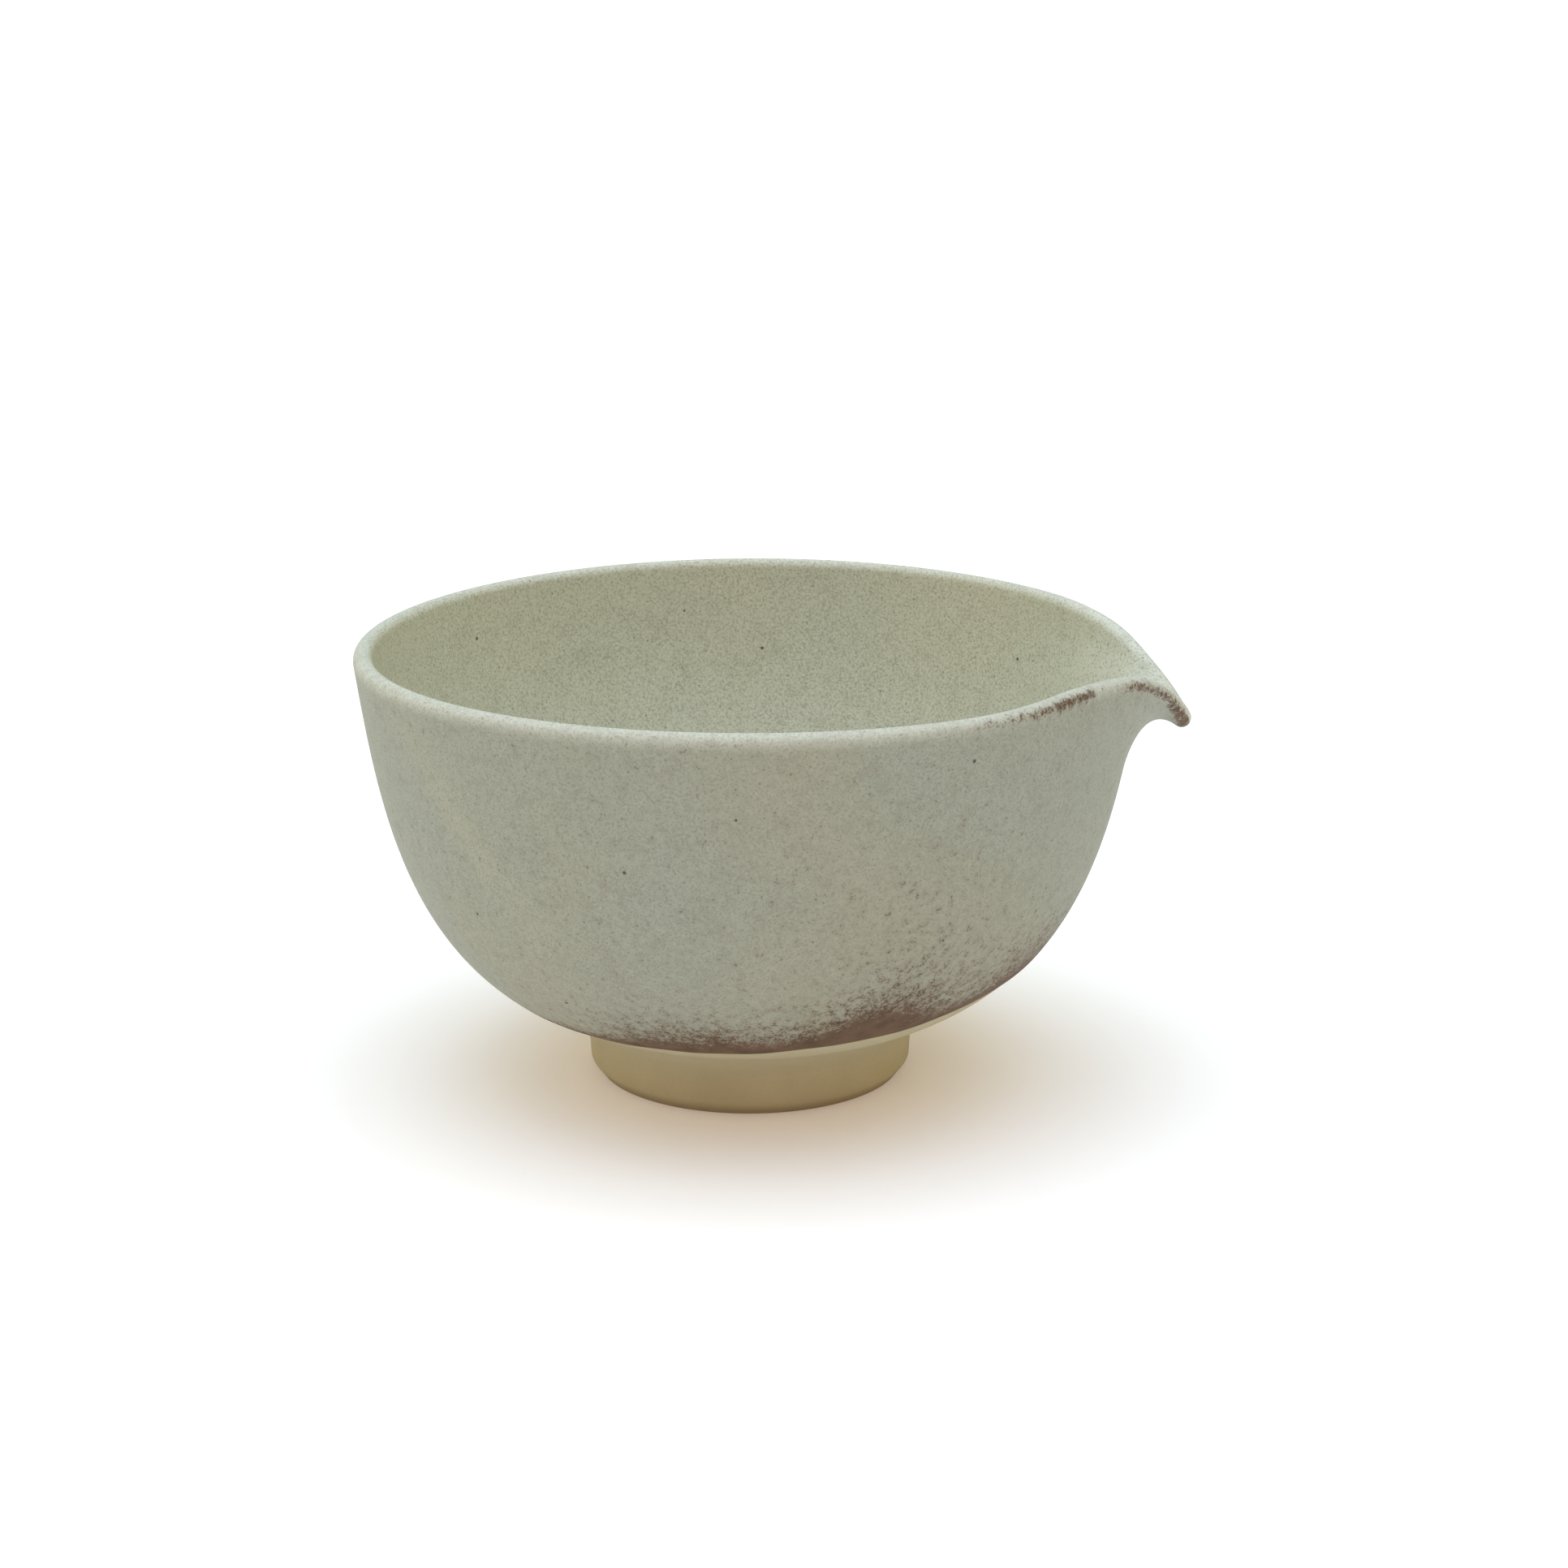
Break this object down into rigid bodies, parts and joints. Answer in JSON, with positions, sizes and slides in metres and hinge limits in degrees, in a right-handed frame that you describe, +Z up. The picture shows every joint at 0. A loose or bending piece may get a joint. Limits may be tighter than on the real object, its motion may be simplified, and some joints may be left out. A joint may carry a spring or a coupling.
{
  "type": "pouring bowl",
  "caption": "Round stoneware bowl on a turned foot ring, with a lip worked into the rim for pouring whisked tea; matte speckled glaze inside and out, bare clay at the foot.",
  "frame": {"origin": "middle of the outer box, on the plane that the foot ring rests on; the bowl's round axis stands 4.2 mm behind it, away from the lip", "axes": "+X towards the tip of the pouring lip, +Z up through the open mouth, +Y completes the right-handed frame"},
  "size_m": [0.1436, 0.1352, 0.0773],
  "materials": {
    "clay": "bare fired buff stoneware, matte",
    "inner_glaze": "matte sage glaze with a fine dark speckle",
    "outer_glaze": "matte grey-green glaze that breaks to rust brown where it is thin"
  },
  "bodies": {
    "root": {"bowl_wall": "clay", "pouring_lip": "clay", "foot_ring": "clay", "inner_glaze": "inner_glaze", "outer_glaze": "outer_glaze"}
  },
  "joints": []
}
